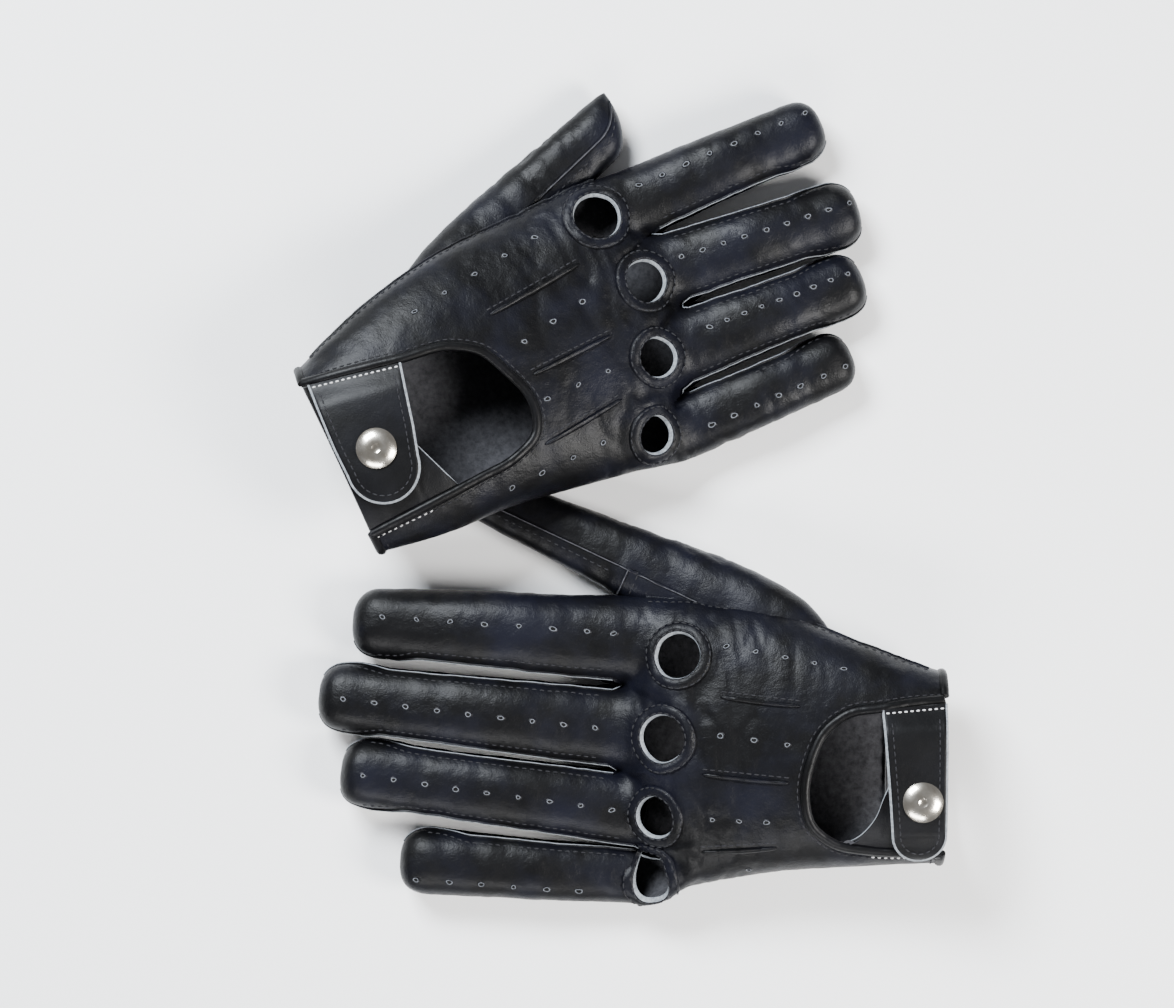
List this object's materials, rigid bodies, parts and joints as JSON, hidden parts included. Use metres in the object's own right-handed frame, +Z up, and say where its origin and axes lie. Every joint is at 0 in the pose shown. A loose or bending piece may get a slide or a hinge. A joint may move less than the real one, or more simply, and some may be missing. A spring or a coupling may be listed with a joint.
{
  "type": "pair of driving gloves",
  "caption": "Pair of short leather driving gloves with open knuckles, an open back, perforated fingers and a press-stud wrist strap, lying palm down, one partly on the other.",
  "frame": {"origin": "centre of the pair's bounding box on the surface that it lies on", "axes": "+Z up, away from that surface; +X from the left glove's fingers towards its cuff; +Y from the left glove to the right one"},
  "size_m": [0.2256, 0.282, 0.0561],
  "materials": {
    "glove_leather": "soft black nappa, slight sheen",
    "binding_leather": "rolled black leather",
    "strap_leather": "black leather with pale raw edges",
    "elastic": "woven elastic",
    "press_stud": "polished nickel"
  },
  "bodies": {
    "left_hand": {"left_back_panel": "glove_leather", "left_palm_panel": "glove_leather", "left_knuckle_rings": "glove_leather", "left_opening_binding": "binding_leather", "left_cuff_binding": "binding_leather", "left_wrist_elastic": "elastic", "left_underlap_tab": "strap_leather", "left_snap_stud": "press_stud", "left_snap_rivet": "press_stud", "left_thumb_base": "glove_leather"},
    "left_strap": {"left_strap": "strap_leather", "left_strap_lining": "strap_leather", "left_snap_cap": "press_stud", "left_snap_socket": "press_stud"},
    "left_thumb": {"left_thumb_back": "glove_leather", "left_thumb_front": "glove_leather"},
    "left_index": {"left_index_back": "glove_leather", "left_index_palm": "glove_leather", "left_index_fourchettes": "glove_leather"},
    "left_middle": {"left_middle_back": "glove_leather", "left_middle_palm": "glove_leather", "left_middle_fourchettes": "glove_leather"},
    "left_ring": {"left_ring_back": "glove_leather", "left_ring_palm": "glove_leather", "left_ring_fourchettes": "glove_leather"},
    "left_little": {"left_little_back": "glove_leather", "left_little_palm": "glove_leather", "left_little_fourchettes": "glove_leather"},
    "right_hand": {"right_back_panel": "glove_leather", "right_palm_panel": "glove_leather", "right_knuckle_rings": "glove_leather", "right_opening_binding": "binding_leather", "right_cuff_binding": "binding_leather", "right_wrist_elastic": "elastic", "right_underlap_tab": "strap_leather", "right_snap_stud": "press_stud", "right_snap_rivet": "press_stud", "right_thumb_base": "glove_leather"},
    "right_strap": {"right_strap": "strap_leather", "right_strap_lining": "strap_leather", "right_snap_cap": "press_stud", "right_snap_socket": "press_stud"},
    "right_thumb": {"right_thumb_back": "glove_leather", "right_thumb_front": "glove_leather"},
    "right_index": {"right_index_back": "glove_leather", "right_index_palm": "glove_leather", "right_index_fourchettes": "glove_leather"},
    "right_middle": {"right_middle_back": "glove_leather", "right_middle_palm": "glove_leather", "right_middle_fourchettes": "glove_leather"},
    "right_ring": {"right_ring_back": "glove_leather", "right_ring_palm": "glove_leather", "right_ring_fourchettes": "glove_leather"},
    "right_little": {"right_little_back": "glove_leather", "right_little_palm": "glove_leather", "right_little_fourchettes": "glove_leather"}
  },
  "joints": [
    {"name": "left_index_bend", "type": "hinge", "parent": "left_hand", "child": "left_index", "pos_m": [-0.00615, -0.04715, 0.02477], "axis": [0.0665, 0.9978, 0], "range_deg": [0, 60]},
    {"name": "left_middle_bend", "type": "hinge", "parent": "left_hand", "child": "left_middle", "pos_m": [-0.00718, -0.07811, 0.02305], "axis": [0.1109, 0.9938, 0], "range_deg": [0, 60]},
    {"name": "left_ring_bend", "type": "hinge", "parent": "left_hand", "child": "left_ring", "pos_m": [-0.00237, -0.10682, 0.02118], "axis": [0.1361, 0.9907, 0], "range_deg": [0, 60]},
    {"name": "left_little_bend", "type": "hinge", "parent": "left_hand", "child": "left_little", "pos_m": [0.00439, -0.13094, 0.01619], "axis": [0.0688, 0.9976, 0], "range_deg": [0, 60]},
    {"name": "left_thumb_swing", "type": "hinge", "parent": "left_hand", "child": "left_thumb", "pos_m": [-0.00856, -0.01539, 0.008], "axis": [0, 0, 1], "range_deg": [0, 15]},
    {"name": "left_strap_open", "type": "hinge", "parent": "left_hand", "child": "left_strap", "pos_m": [0.10107, -0.06997, 0.0448], "axis": [-0.9962, -0.0873, 0], "range_deg": [0, 120]},
    {"name": "right_index_bend", "type": "hinge", "parent": "right_hand", "child": "right_index", "pos_m": [0.0105, 0.10817, 0.0204], "axis": [0.3986, -0.9171, 0], "range_deg": [0, 60]},
    {"name": "right_middle_bend", "type": "hinge", "parent": "right_hand", "child": "right_middle", "pos_m": [0.02259, 0.08457, 0.02087], "axis": [0.3048, -0.9524, 0], "range_deg": [0, 60]},
    {"name": "right_ring_bend", "type": "hinge", "parent": "right_hand", "child": "right_ring", "pos_m": [0.02737, 0.05709, 0.02149], "axis": [0.3612, -0.9325, 0], "range_deg": [0, 60]},
    {"name": "right_little_bend", "type": "hinge", "parent": "right_hand", "child": "right_little", "pos_m": [0.02958, 0.03012, 0.01837], "axis": [0.3982, -0.9173, 0], "range_deg": [0, 60]},
    {"name": "right_thumb_swing", "type": "hinge", "parent": "right_hand", "child": "right_thumb", "pos_m": [-0.02212, 0.11949, 0.008], "axis": [0, 0, -1], "range_deg": [0, 15]},
    {"name": "right_strap_open", "type": "hinge", "parent": "right_hand", "child": "right_strap", "pos_m": [-0.09199, 0.04463, 0.0538], "axis": [-0.9716, -0.2367, 0], "range_deg": [0, 120]},
    {"name": "right_glove_lift", "type": "slide", "parent": "left_hand", "child": "right_hand", "axis": [0, 0, 1], "range_m": [0, 0.15]}
  ]
}
